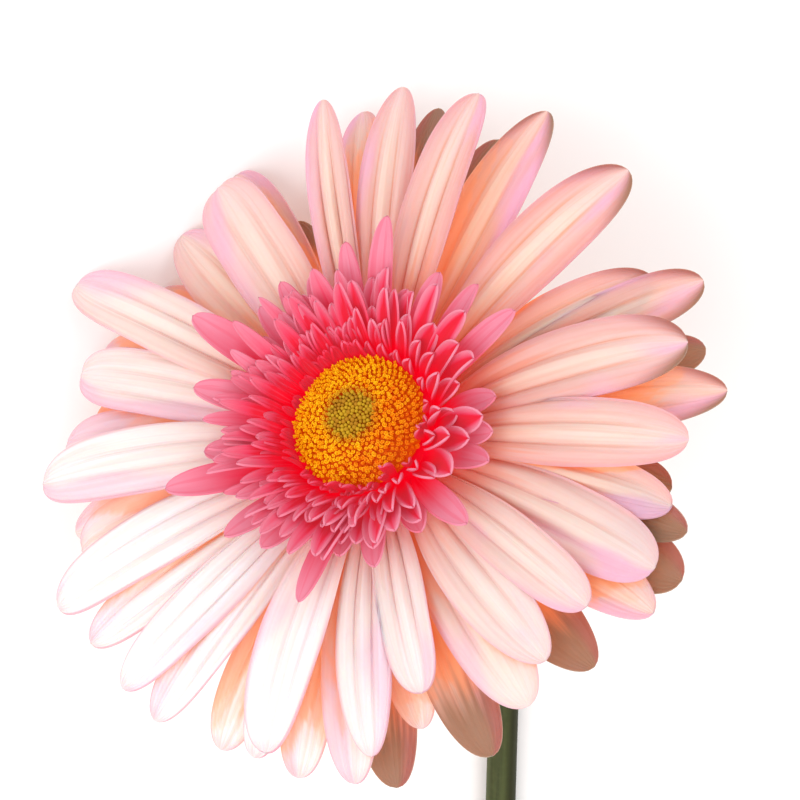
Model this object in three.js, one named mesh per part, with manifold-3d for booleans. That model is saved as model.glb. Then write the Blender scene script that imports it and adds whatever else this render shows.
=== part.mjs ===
// A cut gerbera lying on a table: millimetres, +Z up, the stem along -Y.
// The origin is on the flat underside of the stem, where it lies on the table.
import * as THREE from "three";
import Module from "manifold-3d";

const wasm = await Module();
wasm.setup();
const { Manifold, Mesh } = wasm;
const RADIANS = Math.PI / 180;

// Pose of the head
const HEAD_LEAN = 46; // head axis away from straight up
const LEAN_HEADING = 136.5; // direction the head axis leans to, from +X towards +Y
const HEAD_HEIGHT = 47.5; // root plane of the rays above the table, on the head axis
const TABLE_GAP = 0.02; // the lowest ray tips stop this far above the table

// Stem
const STEM_HALF = 2.8; // from the middle of the stem to its flats, near the head
const STEM_HALF_CUT = 3.1; // the same at the cut end
const STEM_SIDES = 12;
const STEM_X = 37; // stem line to the right of the head's centre
const STEM_STRAIGHT_FROM = -62; // the stem lies flat from here, measured from the head's centre
const STEM_STRAIGHT_LENGTH = 292;
const STEM_ORIGIN_AT = -112; // where on the straight stem the part's origin is
const NECK_REACH = 42; // how far the neck keeps the direction of the head axis
const NECK_SWING = 20;
const CUT_SLANT = 3.2; // the cut end is this much longer on the table side
const NECK_FLARE = 1.25;

// Levels along the head axis, from the root plane of the rays
const STEM_TOP = -20.3;
const CUP_BOTTOM = -20;
const CUP_TOP = -7.3;
const CUP_RADIUS = 12.6;
const OUTER_CORE = { radius: 13, bottom: -7, top: -2.5 };
const INNER_CORE = { radius: 13.3, bottom: -2.2, top: 0.9 };
const DISC_RADIUS = 11.5;
const DISC_BOTTOM = 1.2;
const DISC_EDGE = 2.2;
const DISC_CROWN = 6.6;
const CENTRE_RADIUS = 4;

// Blades of the outer rays
const RAY_THICKNESS = 0.65;
const RAY_GROOVE = 0.55;
const TIP_SHAPES = [2.2, 3, 4]; // from pointed to round
// Each ray: direction of its tip round the head in degrees, reach from the axis, width.
const FRONT_ROW = {
  rootRadius: 10.5, rootLevel: -4.1, rise: 18.7, droop: 36,
  rays: [
    [12, 56, 13], [46, 61.5, 12.5], [74, 61.5, 10], [89, 64, 9.5], [101, 62, 7.5],
    [124, 57, 13.5], [152, 65, 11], [165.5, 58, 11.5], [187, 59, 12.5], [207, 62, 11.5],
    [226.5, 59.5, 10], [233, 60, 9.5], [257, 57, 12], [274, 55.5, 9.5], [285, 47, 8.5],
    [309, 52, 11.5], [321, 51, 9.5], [333, 55.5, 12.5], [355, 55.5, 11.5],
  ],
};
const MIDDLE_ROW = {
  rootRadius: 10.3, rootLevel: -5.2, rise: 12, droop: 30,
  rays: [
    [5, 60, 12], [24.5, 60.5, 10], [28, 53.5, 11], [66, 64.5, 12], [97.5, 63, 9], [121, 60.5, 12],
    [135, 58, 12.5], [160, 59, 12], [178, 59, 12], [197, 57, 12], [215, 60, 9.5], [250, 57, 9],
    [270, 59, 10.5], [281, 50, 9], [302, 55.5, 12], [327, 57.5, 12], [344, 54, 10],
  ],
};
const BACK_ROW = {
  rootRadius: 10, rootLevel: -5.6, rise: 3, droop: 21,
  rays: [
    [14, 57, 9], [31, 52, 9], [73, 58, 9], [86, 64, 9], [115, 46.5, 10], [146, 56, 11],
    [172, 55, 12], [190, 61, 11], [226, 55, 12], [242, 58, 9.5], [258, 58, 9.5], [274, 58, 11],
    [292, 58, 11.5], [314, 54.5, 12], [334, 58, 12], [349, 51, 10], [341, 57, 9.5],
  ],
};

// Inner florets: long ones read off the photo, then rings of shorter ones towards the disc.
const FLORET_THICKNESS = 0.6;
const LONG_FLORETS = {
  rootRadius: 12.2, rootLevel: -1.6, rise: 34, droop: 14,
  rays: [
    [5.5, 24.5, 4.8], [131.5, 27.5, 4.4], [27.5, 32.5, 4.8], [44.5, 30, 4.4], [59.5, 28, 4.6],
    [80.5, 34, 4.6], [95.5, 31, 4.2], [110, 27.5, 4.2], [120.5, 28.5, 4], [147.5, 34.5, 5.8],
    [168, 29, 5.2], [190, 27, 4.6], [203, 33, 5.6], [224.5, 29, 4.6], [237.5, 26.5, 4.8],
    [259.5, 33, 4], [268, 24, 4.8], [282.5, 27, 4.6], [302.5, 24, 5], [317, 31, 5], [339, 26, 5],
    [350.5, 25, 4.8],
  ],
};
const FLORET_RINGS = [
  { rootRadius: 12.4, rootLevel: -0.8, rise: 44, droop: 12, reach: 24.5, width: 4.2, between: 0.5 },
  { rootRadius: 12.6, rootLevel: 0, rise: 54, droop: 10, reach: 20.5, width: 3.8, between: 0 },
  { rootRadius: 12.8, rootLevel: 0.6, rise: 63, droop: 8, reach: 17, width: 3.3, between: 0.5 },
];

// Bracts of the cup
const BRACT_RINGS = [
  { count: 12, level: -12, reach: 15.6, rise: 46, droop: 22, width: 3.8, turn: 0 },
  { count: 12, level: -15.5, reach: 13.6, rise: 50, droop: 14, width: 3.4, turn: 14 },
  { count: 8, level: -18, reach: 9.6, rise: 50, droop: 8, width: 3, turn: 4 },
];

// Disc florets
const DISC_PEGS = 46;
const CENTRE_PEGS = 12;
const PEG_SIDES = 4;
const GOLDEN_ANGLE = 137.508;
const MERGE = 0.02; // facets flatter than this are joined

// A repeatable random draw between -1 and 1.
function drawFrom(seed) {
  let state = seed;
  return () => {
    state = (state * 16807) % 2147483647;
    return (state / 2147483647) * 2 - 1;
  };
}

const leanAxis = new THREE.Vector3(
  Math.sin(LEAN_HEADING * RADIANS) * -1, Math.cos(LEAN_HEADING * RADIANS), 0,
);
const headTurn = new THREE.Matrix4().makeRotationAxis(leanAxis, HEAD_LEAN * RADIANS);
const toPart = new THREE.Vector3(-STEM_X, -STEM_ORIGIN_AT, 0);
const headPlace = new THREE.Matrix4()
  .makeTranslation(toPart.x, toPart.y, HEAD_HEIGHT)
  .multiply(headTurn);

function solid(points, faces) {
  return new Manifold(new Mesh({
    numProp: 3,
    vertProperties: new Float32Array(points.flat()),
    triVerts: new Uint32Array(faces.flat()),
  }));
}

// One body out of overlapping pieces, with any closed pocket between them filled.
function fused(pieces) {
  const bodies = Manifold.union(pieces).decompose().filter((body) => body.volume() > 0);
  return bodies.sort((a, b) => b.volume() - a.volume())[0].simplify(MERGE);
}

// Width of a blade along it: narrow root, widest at two thirds, rounded or pointed tip.
function outline(t, root, point) {
  const widest = 0.6;
  if (t < widest) {
    const s = t / widest;
    return root + (1 - root) * Math.sin(s * Math.PI / 2) ** 1.15;
  }
  const s = (t - widest) / (1 - widest);
  return Math.max(0.2, (1 - s ** point) ** 0.5);
}

// Centre line of a blade in its own upright plane: distance from the head axis, sideways, height.
function centreLine(b, steps) {
  const line = [[0, 0, 0, b.rise * RADIANS, 0]];
  for (let i = 1; i <= steps; i++) {
    const t = (i - 0.5) / steps;
    const slope = (b.rise - b.droop * t ** 1.3) * RADIANS;
    const heading = (b.sway * (t - 0.5)) * RADIANS;
    const [s, y, z] = line[i - 1];
    line.push([
      s + (Math.cos(slope) * Math.cos(heading)) / steps,
      y + (Math.cos(slope) * Math.sin(heading)) / steps,
      z + Math.sin(slope) / steps,
      (b.rise - b.droop * (i / steps) ** 1.3) * RADIANS,
      (b.sway * (i / steps - 0.5)) * RADIANS,
    ]);
  }
  const long = (b.reach - b.rootRadius) / line[steps][0];
  return line.map(([s, y, z, slope, heading]) =>
    [b.rootRadius + s * long, y * long, b.rootLevel + z * long, slope, heading]);
}

// A grooved strap-shaped blade as one closed solid in the head's frame.
function blade(b, rows, across) {
  const steps = 40;
  const line = centreLine(b, steps);
  const turn = b.azimuth * RADIANS;
  const top = [], bottom = [];
  for (let i = 0; i <= rows; i++) {
    const t = 1 - (1 - i / rows) ** 1.4;
    const at = Math.min(steps - 1, Math.floor(t * steps));
    const part = t * steps - at;
    const [s, y, z, slope, heading] = line[at].map((v, k) => v + (line[at + 1][k] - v) * part);
    const half = (b.width / 2) * outline(t, b.root, b.point);
    const along = new THREE.Vector3(
      Math.cos(slope) * Math.cos(heading), Math.cos(slope) * Math.sin(heading), Math.sin(slope),
    );
    const side = new THREE.Vector3(-Math.sin(heading), Math.cos(heading), 0)
      .applyAxisAngle(along, b.roll * t * RADIANS);
    const up = new THREE.Vector3().crossVectors(along, side);
    const swell = Math.sin(Math.PI * Math.min(1, t / 0.97)) ** 0.6 || 0;
    for (const v of across) {
      const lift = b.cup * half * v * v + b.groove * swell * Math.cos(3 * Math.PI * v);
      for (const [list, depth] of [[top, 0], [bottom, b.thickness]]) {
        const p = new THREE.Vector3(s, y, z)
          .addScaledVector(side, v * half)
          .addScaledVector(up, lift - depth)
          .applyAxisAngle(new THREE.Vector3(0, 0, 1), turn);
        list.push(p.toArray());
      }
    }
  }
  const wide = across.length, count = top.length, faces = [];
  const id = (i, j) => i * wide + j;
  for (let i = 0; i < rows; i++) {
    for (let j = 0; j + 1 < wide; j++) {
      const [a, c, d, e] = [id(i, j), id(i + 1, j), id(i + 1, j + 1), id(i, j + 1)];
      faces.push([a, c, d], [a, d, e]);
      faces.push([a + count, d + count, c + count], [a + count, e + count, d + count]);
    }
    for (const [j, flip] of [[0, false], [wide - 1, true]]) {
      const [a, c] = flip ? [id(i + 1, j), id(i, j)] : [id(i, j), id(i + 1, j)];
      faces.push([a, a + count, c + count], [a, c + count, c]);
    }
  }
  for (let j = 0; j + 1 < wide; j++) {
    for (const [i, flip] of [[0, true], [rows, false]]) {
      const [a, c] = flip ? [id(i, j + 1), id(i, j)] : [id(i, j), id(i, j + 1)];
      faces.push([a, a + count, c + count], [a, c + count, c]);
    }
  }
  return solid([...top, ...bottom], faces);
}

// Height above the table of a blade's tip.
function tipHeight(b) {
  const end = centreLine(b, 40)[40];
  const p = new THREE.Vector3(end[0], end[1], end[2] - b.thickness)
    .applyAxisAngle(new THREE.Vector3(0, 0, 1), b.azimuth * RADIANS)
    .applyMatrix4(headPlace);
  return p.z;
}

function rayRow(row, seed, flat = false) {
  const draw = drawFrom(seed);
  return row.rays.map(([azimuth, reach, width], i) => {
    // Every other ray of a row stands under its neighbours.
    const under = i % 2;
    const b = {
      azimuth, reach, width, root: 0.28, thickness: RAY_THICKNESS,
      rootRadius: row.rootRadius, rootLevel: row.rootLevel - 0.4 * under + 0.25 * draw(),
      rise: row.rise - 3 * under + 2.5 * draw(), droop: row.droop + 3 * draw(),
      sway: 7 * draw(), roll: 9 * draw(), cup: 0.1 + 0.14 * draw(),
      groove: flat ? 0 : RAY_GROOVE, point: TIP_SHAPES[Math.floor((draw() + 1) * 1.4999)],
    };
    // A ray that would go through the table is bent up until it lies on it.
    while (tipHeight(b) < TABLE_GAP) b.droop -= 0.25;
    return blade(b, 5, flat ? [-1, 0, 1] : [-1, -0.36, 0, 0.36, 1]);
  });
}

function puck(core, sides) {
  return Manifold.cylinder(core.top - core.bottom, core.radius, core.radius, sides)
    .translate([0, 0, core.bottom]);
}

function outerRays() {
  return fused([
    puck(OUTER_CORE, 36), ...rayRow(FRONT_ROW, 11), ...rayRow(MIDDLE_ROW, 23),
    ...rayRow(BACK_ROW, 37, true),
  ]);
}

function innerRays() {
  const draw = drawFrom(51);
  const blades = LONG_FLORETS.rays.map(([azimuth, reach, width]) => blade({
    azimuth, reach, width, root: 0.42, thickness: FLORET_THICKNESS,
    rootRadius: LONG_FLORETS.rootRadius, rootLevel: LONG_FLORETS.rootLevel,
    rise: LONG_FLORETS.rise + 3 * draw(), droop: LONG_FLORETS.droop + 4 * draw(),
    sway: 14 * draw(), roll: 16 * draw(), cup: 0.3, groove: 0, point: 2.2,
  }, 3, [-1, 0, 1]));
  // A ring's florets stand over the long ones, or over the gaps between them.
  const long = LONG_FLORETS.rays.map(([azimuth]) => azimuth).sort((a, b) => a - b);
  for (const ring of FLORET_RINGS) {
    for (let i = 0; i < long.length; i++) {
      const gap = (long[(i + 1) % long.length] - long[i] + 360) % 360;
      blades.push(blade({
        azimuth: long[i] + gap * (ring.between + 0.3 * draw()),
        reach: ring.reach + 2.4 * draw(), width: ring.width * (1 + 0.16 * draw()),
        root: 0.5, thickness: FLORET_THICKNESS,
        rootRadius: ring.rootRadius, rootLevel: ring.rootLevel,
        rise: ring.rise + 6 * draw(), droop: ring.droop, sway: 28 * draw(), roll: 30 * draw(),
        cup: 0, groove: 0, point: 1.9,
      }, 2, [-1, 1]));
    }
  }
  return fused([puck(INNER_CORE, 36), ...blades]);
}

// Height of the disc's dome at a distance from the axis.
function domeHeight(r) {
  const s = Math.min(1, r / DISC_RADIUS);
  return DISC_EDGE + (DISC_CROWN - DISC_EDGE) * (1 - s ** 2.4);
}

function pegs(count, from, to, width, rise, seed) {
  const draw = drawFrom(seed);
  const list = [];
  for (let i = 0; i < count; i++) {
    const r = Math.sqrt(from * from + (to * to - from * from) * ((i + 0.5) / count));
    const turn = i * GOLDEN_ANGLE;
    const lean = 30 * (r / DISC_RADIUS) ** 2;
    list.push(
      Manifold.cylinder(rise + 1.6, width, width * 0.62, PEG_SIDES)
        .translate([0, 0, -1.6 + 0.3 * draw()])
        .rotate([0, lean, 0])
        .translate([r, 0, domeHeight(r)])
        .rotate([0, 0, turn]),
    );
  }
  return list;
}

function discFlorets() {
  const pocket = CENTRE_RADIUS + 0.3;
  const profile = [[pocket, DISC_BOTTOM + 1.4], [pocket, domeHeight(pocket)]];
  for (const r of [6.2, 8.2, 9.8, 10.8]) profile.push([r, domeHeight(r)]);
  profile.push([DISC_RADIUS - 0.1, DISC_EDGE], [DISC_RADIUS - 0.3, DISC_BOTTOM], [0, DISC_BOTTOM],
    [0, DISC_BOTTOM + 1.4]);
  const dome = Manifold.revolve([profile.reverse()], 26);
  const hole = Manifold.cylinder(12, pocket, pocket, 24).translate([0, 0, DISC_BOTTOM + 1.4]);
  return fused([dome, ...pegs(DISC_PEGS, 4.9, 10.4, 1.1, 0.7, 5)]).subtract(hole);
}

function discCentre() {
  const profile = [[0, DISC_BOTTOM + 1.7], [CENTRE_RADIUS, DISC_BOTTOM + 1.7],
    [CENTRE_RADIUS, domeHeight(CENTRE_RADIUS) - 0.2], [2.4, domeHeight(2.4) - 0.5],
    [0, DISC_CROWN - 0.6]];
  const plug = Manifold.revolve([profile], 24);
  const limit = Manifold.cylinder(12, CENTRE_RADIUS, CENTRE_RADIUS, 24).translate([0, 0, DISC_BOTTOM]);
  return Manifold.union([plug, ...pegs(CENTRE_PEGS, 0, 3.5, 0.8, 0.1, 9)]).intersect(limit);
}

// Radius of the cup at a level along the head axis.
function cupRadius(level) {
  const s = (level - CUP_BOTTOM) / (CUP_TOP - CUP_BOTTOM);
  return 3.4 + (CUP_RADIUS - 3.4) * s ** 0.62;
}

function involucre() {
  const profile = [[0, CUP_TOP], [0, CUP_BOTTOM]];
  for (const s of [0, 0.12, 0.42, 1]) {
    const level = CUP_BOTTOM + (CUP_TOP - CUP_BOTTOM) * s;
    profile.push([cupRadius(level), level]);
  }
  const cup = Manifold.revolve([profile], 20);
  const draw = drawFrom(71);
  const bracts = BRACT_RINGS.flatMap((ring) => Array.from({ length: ring.count }, (_, i) => blade({
    azimuth: ring.turn + (360 / ring.count) * i, reach: ring.reach + 0.3 * draw(),
    width: ring.width, root: 0.85, thickness: 0.9,
    rootRadius: cupRadius(ring.level) - 0.4, rootLevel: ring.level,
    rise: ring.rise, droop: ring.droop, sway: 5 * draw(), roll: 0, cup: 0, groove: 0, point: 1.1,
  }, 2, [-1, 1])));
  return fused([cup, ...bracts]);
}

// Stem: a twelve-sided rod, flat on the table from the cut end, curving up to the cup.
function stem() {
  const axis = new THREE.Vector3(0, 0, 1).transformDirection(headTurn);
  const top = new THREE.Vector3(0, 0, STEM_TOP).applyMatrix4(headPlace);
  const bend = new THREE.Vector3(0, STEM_STRAIGHT_FROM + toPart.y, STEM_HALF);
  const neck = new THREE.CubicBezierCurve3(
    top,
    top.clone().addScaledVector(axis, -NECK_REACH),
    bend.clone().add(new THREE.Vector3(0, NECK_SWING, 0)),
    bend,
  );
  const rings = [];
  const ring = (centre, across, up, half, slant = 0) => {
    const radius = half / Math.cos(Math.PI / STEM_SIDES);
    for (let k = 0; k < STEM_SIDES; k++) {
      const a = ((k + 0.5) / STEM_SIDES) * 2 * Math.PI;
      const p = centre.clone()
        .addScaledVector(across, radius * Math.cos(a))
        .addScaledVector(up, radius * Math.sin(a));
      p.y -= slant * (1 - Math.sin(a)) / 2;
      rings.push(p.toArray());
    }
  };
  // The straight part, from the cut end to the bend.
  const right = new THREE.Vector3(1, 0, 0), up = new THREE.Vector3(0, 0, 1);
  const stops = 4;
  for (let i = 0; i <= stops; i++) {
    const s = i / stops;
    const half = STEM_HALF_CUT + (STEM_HALF - STEM_HALF_CUT) * s;
    const y = bend.y - STEM_STRAIGHT_LENGTH * (1 - s);
    ring(new THREE.Vector3(0, y, half), right, up, half, i === 0 ? CUT_SLANT : 0);
  }
  // The neck, with the section turned along as little as possible.
  const steps = 12;
  let across = right.clone();
  for (let i = 1; i <= steps; i++) {
    const s = 1 - i / steps;
    const along = neck.getTangent(s).negate();
    across = across.sub(along.clone().multiplyScalar(across.dot(along))).normalize();
    const lift = new THREE.Vector3().crossVectors(across, along);
    const flare = 1 + (NECK_FLARE - 1) * Math.max(0, 1 - 6 * s) ** 1.5;
    ring(neck.getPoint(s), across, lift, STEM_HALF * flare);
  }
  const count = rings.length / STEM_SIDES, faces = [];
  const id = (i, k) => i * STEM_SIDES + (k % STEM_SIDES);
  for (let i = 0; i + 1 < count; i++)
    for (let k = 0; k < STEM_SIDES; k++) {
      faces.push([id(i, k), id(i + 1, k), id(i + 1, k + 1)], [id(i, k), id(i + 1, k + 1), id(i, k + 1)]);
    }
  for (let k = 1; k + 1 < STEM_SIDES; k++) {
    faces.push([id(0, 0), id(0, k), id(0, k + 1)]);
    faces.push([id(count - 1, 0), id(count - 1, k + 1), id(count - 1, k)]);
  }
  const made = solid(rings, faces);
  return made.volume() < 0 ? solid(rings, faces.map(([a, b, c]) => [a, c, b])) : made;
}

const colours = {
  stem: "#5a6340", involucre: "#6a7a42", outer_rays: "#f6dccb", inner_rays: "#e2406a",
  disc_florets: "#eda51c", disc_centre: "#9a7a24",
};
const flower = new THREE.Group();
function add(name, made, inHead) {
  const placed = inHead ? made.transform(headPlace.toArray()) : made;
  const mesh = placed.getMesh();
  const geometry = new THREE.BufferGeometry()
    .setAttribute("position", new THREE.BufferAttribute(mesh.vertProperties.slice(), 3))
    .setIndex(new THREE.BufferAttribute(mesh.triVerts, 1));
  geometry.computeVertexNormals();
  const node = new THREE.Mesh(geometry, new THREE.MeshStandardMaterial({ color: colours[name] }));
  node.name = name;
  flower.add(node);
}
add("stem", stem(), false);
add("involucre", involucre(), true);
add("outer_rays", outerRays(), true);
add("inner_rays", innerRays(), true);
add("disc_florets", discFlorets(), true);
add("disc_centre", discCentre(), true);

export default flower;
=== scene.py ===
# %% [markdown]
# # A cut gerbera, lying on a table
#
# A gerbera is a daisy: what looks like one flower is a head of many. Broad rays stand round
# the rim, shorter ones fill the ring inside them, and small open florets and closed buds
# cover the disc. A green cup of bracts holds them all on a long leafless stem.
#
# The solid model is loaded first, as a frame of six nodes. Each node is then replaced by
# finer pieces that keep its place and form.

import math

import bpy
import numpy as np
from mathutils import Matrix, Vector
from mathutils.bvhtree import BVHTree


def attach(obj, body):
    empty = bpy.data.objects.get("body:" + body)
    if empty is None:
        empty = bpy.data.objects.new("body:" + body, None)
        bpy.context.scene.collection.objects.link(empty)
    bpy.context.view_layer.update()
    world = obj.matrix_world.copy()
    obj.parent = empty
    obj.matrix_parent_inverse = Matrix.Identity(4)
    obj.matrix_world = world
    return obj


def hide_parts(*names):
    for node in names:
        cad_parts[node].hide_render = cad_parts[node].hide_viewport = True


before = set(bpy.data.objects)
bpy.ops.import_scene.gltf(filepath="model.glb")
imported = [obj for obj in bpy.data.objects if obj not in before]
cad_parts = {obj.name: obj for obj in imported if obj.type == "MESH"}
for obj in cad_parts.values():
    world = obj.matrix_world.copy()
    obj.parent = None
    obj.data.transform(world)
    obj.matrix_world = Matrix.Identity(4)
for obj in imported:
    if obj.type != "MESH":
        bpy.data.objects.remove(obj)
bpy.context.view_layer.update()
print("nodes:", sorted(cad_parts))

# %% [markdown]
# ## Sizes
#
# The solids were drawn in millimetres round the head's own axis, so the pieces are too: the
# root plane of the rays is level 0, and the face looks along +Z. `HEAD` then tips a piece
# over and lifts it to where the head hangs over the table. Blender works in metres.

# %% Sizes and the head's place
MM = 0.001
HEAD_LEAN = math.radians(46)  # the head's axis, away from straight up
LEAN_HEADING = math.radians(136.5)  # where it leans to, from +X towards +Y
HEAD_HEIGHT = 47.5
STEM_X = 37  # the stem's line, to the right of the head's middle
STEM_ORIGIN_AT = -112  # the part's origin on that line, from the head's middle

lean_axis = Vector((-math.sin(LEAN_HEADING), math.cos(LEAN_HEADING), 0))
HEAD = Matrix.Scale(MM, 4) @ Matrix.Translation((-STEM_X, -STEM_ORIGIN_AT, HEAD_HEIGHT)) \
    @ Matrix.Rotation(HEAD_LEAN, 4, lean_axis)
print("middle of the head:", [round(n, 4) for n in HEAD.translation])

# %% [markdown]
# ## The camera
#
# The photograph looks at the head from a little beside its axis, so the camera is turned
# back from the head's lean towards straight down. It stands half a metre off with a long
# lens, and is slid sideways until the disc lies where the photograph has it.

# %% Camera
VIEW_OFF_AXIS = math.radians(29)
LENS = 135
SENSOR = 36
# The photograph is 800 pixels square. HEAD_PIXEL is where the head's axis meets the root
# plane of the rays in it, and PIXELS_PER_MM is its scale there.
PHOTO_SIDE = 800
PIXELS_PER_MM = 6
HEAD_PIXEL = (365, 427)

view_turn = Matrix.Rotation(HEAD_LEAN - VIEW_OFF_AXIS, 3, lean_axis)
right, up, back = (view_turn @ Vector(axis) for axis in ((1, 0, 0), (0, 1, 0), (0, 0, 1)))
distance = LENS / SENSOR * PHOTO_SIDE / PIXELS_PER_MM * MM
slide = [(HEAD_PIXEL[0] - PHOTO_SIDE / 2) * MM / PIXELS_PER_MM,
         (PHOTO_SIDE / 2 - HEAD_PIXEL[1]) * MM / PIXELS_PER_MM]
camera = bpy.data.objects.new("camera", bpy.data.cameras.new("camera"))
camera.matrix_world = Matrix.Translation(
    HEAD.translation - slide[0] * right - slide[1] * up + distance * back,
) @ Matrix((right, up, back)).transposed().to_4x4()
camera.data.lens, camera.data.sensor_width = LENS, SENSOR
bpy.context.collection.objects.link(camera)
bpy.context.scene.camera = camera
print(f"camera {distance:.2f} m from the head")

# %% [markdown]
# ## Shader maths in Python
#
# A material is a graph of nodes, and graphs are slow to read in code. `Wire` stands for one
# socket and understands Python's own operators, so `edge * 0.5 + 1` adds its Math nodes
# itself.

# %% Wires
class Wire:
    """A node's output that + - * ** work on."""

    def __init__(self, skin, socket):
        self.skin, self.socket = skin, socket

    def math(self, operation, *others):
        return self.skin.node("ShaderNodeMath", {"operation": operation}, self, *others)

    def __add__(self, other):
        return self.math("ADD", other)

    def __mul__(self, other):
        return self.math("MULTIPLY", other)

    def __sub__(self, other):
        return self.math("SUBTRACT", other)

    def __rsub__(self, other):
        return self * -1 + other

    def __pow__(self, other):
        return self.math("POWER", other)

    __radd__, __rmul__ = __add__, __mul__


# %% [markdown]
# ### Colours and skins
#
# Colours are easiest to pick as a screen shows them, while the renderer counts light, so
# `srgb` turns the one into the other. `Skin` starts a material on the Principled shader,
# makes any node that `Wire` doesn't, and ends the graph on the shader.

# %% Screen colours
def srgb(red, green, blue):
    """A colour picked from a screen, as Blender's linear one."""
    return tuple(((c / 255 + 0.055) / 1.055) ** 2.4 for c in (red, green, blue)) + (1,)


print("half-way grey on a screen reflects", round(srgb(128, 128, 128)[0], 3))


# %% Skins
class Skin:
    """One material on a Principled shader."""

    def __init__(self, name, **constants):
        self.material = bpy.data.materials.new(name)
        self.material.use_nodes = True
        self.tree = self.material.node_tree
        self.shader = self.tree.nodes["Principled BSDF"]
        for socket, value in constants.items():
            self.shader.inputs[socket.replace("_", " ")].default_value = value

    def node(self, kind, settings, *values, out=0, **named):
        made = self.tree.nodes.new(kind)
        for key, value in settings.items():
            if key == "stops":
                while len(made.color_ramp.elements) < len(value):
                    made.color_ramp.elements.new(1)
                for stop, (at, colour) in zip(made.color_ramp.elements, value):
                    stop.position, stop.color = at, colour
            else:
                setattr(made, key, value)
        for key, value in [*enumerate(values), *named.items()]:
            self.feed(made.inputs[key], value)
        return Wire(self, made.outputs[out])

    def feed(self, socket, value):
        if isinstance(value, Wire):
            self.tree.links.new(value.socket, socket)
        else:
            socket.default_value = value

    def mix(self, share, first, second, blend="MIX"):
        """Two colours, on the mix node's sockets 6 and 7. Its output 2 is their blend."""
        settings = {"data_type": "RGBA", "blend_type": blend, "clamp_factor": True}
        made = self.node("ShaderNodeMix", settings, share, out=2)
        self.feed(made.socket.node.inputs[6], first)
        self.feed(made.socket.node.inputs[7], second)
        return made

    def step(self, value, low, high):
        """0 below low, 1 above high, and a smooth slope between."""
        return self.node("ShaderNodeMapRange", {"interpolation_type": "SMOOTHSTEP"},
                         value, low, high, 0.0, 1.0)

    def mark(self, name):
        """A number that the mesh carries on each point."""
        return self.node("ShaderNodeAttribute", {"attribute_name": name}, out=2)

    def place(self):
        """Where a point is on the object, in metres."""
        return self.node("ShaderNodeTexCoord", {}, out=3)

    def noise(self, vector, scale, detail=3.0, stretch=None):
        if stretch:
            vector = self.node("ShaderNodeMapping", {}, vector, Scale=stretch)
        return self.node("ShaderNodeTexNoise", {}, Vector=vector, Scale=scale, Detail=detail)

    def join(self, x, y, z):
        return self.node("ShaderNodeCombineXYZ", {}, x, y, z)

    def bump(self, height, depth, strength):
        return self.node("ShaderNodeBump", {}, Strength=strength, Distance=depth, Height=height)

    def finish(self, **wires):
        for socket, value in wires.items():
            self.feed(self.shader.inputs[socket.replace("_", " ")], value)
        return self.material


# %% [markdown]
# ## Modelling helpers
#
# The operators act on whatever is selected, as the tools do under the mouse. Each helper
# therefore starts by letting go of everything.

# %% Selecting
def let_go():
    if bpy.context.mode != "OBJECT":
        bpy.ops.object.mode_set(mode="OBJECT")
    bpy.ops.object.select_all(action="DESELECT")


def pick(pieces):
    let_go()
    for piece in pieces:
        piece.select_set(True)
    bpy.context.view_layer.objects.active = pieces[0]


def pick_points(mesh, test):
    """Selects, in edit mode, the points whose place passes the test."""
    bpy.ops.mesh.select_all(action="DESELECT")
    bpy.ops.object.mode_set(mode="OBJECT")
    for point in mesh.vertices:
        point.select = test(point.co)
    bpy.ops.object.mode_set(mode="EDIT")


# %% [markdown]
# ### Finishing a piece
#
# A piece is finished by joining its copies into one mesh and naming it. It then says which
# body it rides on, and the node of the frame that it stands for is hidden. Edges sharper
# than the given angle stay crisp, and the rest are shaded smooth.

# %% Finishing
CRISP_FROM = math.radians(55)


def apply(piece, kind, **settings):
    pick([piece])
    modifier = piece.modifiers.new(kind.title(), kind)
    for key, value in settings.items():
        setattr(modifier, key, value)
    bpy.ops.object.modifier_apply(modifier=modifier.name)


def joined(name, pieces, material, node):
    """One finished piece out of its copies, which stands for a node of the frame."""
    pick(pieces)
    if len(pieces) > 1:
        bpy.ops.object.join()
    piece = bpy.context.view_layer.objects.active
    piece.name = piece.data.name = name
    piece.data.materials.clear()
    piece.data.materials.append(material)
    pick([piece])
    bpy.ops.object.shade_smooth_by_angle(angle=CRISP_FROM)
    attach(piece, "root")
    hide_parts(node)
    print(name, len(piece.data.polygons), "faces")


# %% [markdown]
# ### Numbers on points, and repeatable chance
#
# Every point of a mesh can carry named numbers, which are called marks here. The bending
# code and the materials both read them. No two petals are alike, so small differences are
# drawn by chance, from a fixed seed, which gives the same flower each time.

# %% Marks and draws
def numbers(mesh, name, values):
    """Keeps one number a point, for the bending code and the materials to read."""
    mesh.attributes.new(name, "FLOAT", "POINT").data.foreach_set("value", values)


def read_numbers(mesh, name):
    values = np.empty(len(mesh.vertices))
    mesh.attributes[name].data.foreach_get("value", values)
    return values


def draw_from(seed):
    """A repeatable random draw between -1 and 1: each state leads to the next."""
    factor, modulus, state = 16807, 2 ** 31 - 1, seed

    def draw():
        nonlocal state
        state = state * factor % modulus
        return state / modulus * 2 - 1
    return draw


try_out = draw_from(11)
print("three draws:", [round(try_out(), 3) for _ in range(3)])

# %% [markdown]
# ## One flat blade
#
# Rays, florets and bracts are all straps: narrow at the root, widest past the middle,
# rounded or pointed at the tip. One flat grid is shaped row by row with the resize tool,
# as a paper petal is trimmed. Its rows lie closer towards the tip, where the outline turns.
#
# Each point remembers where it is `across` the strap, -1 to 1, and `along` it, 0 to 1, so
# that creases and colours can follow the strap however it is bent later.

# %% The outline of a strap
WIDEST_AT = 0.6
NARROWEST = 0.03


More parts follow.
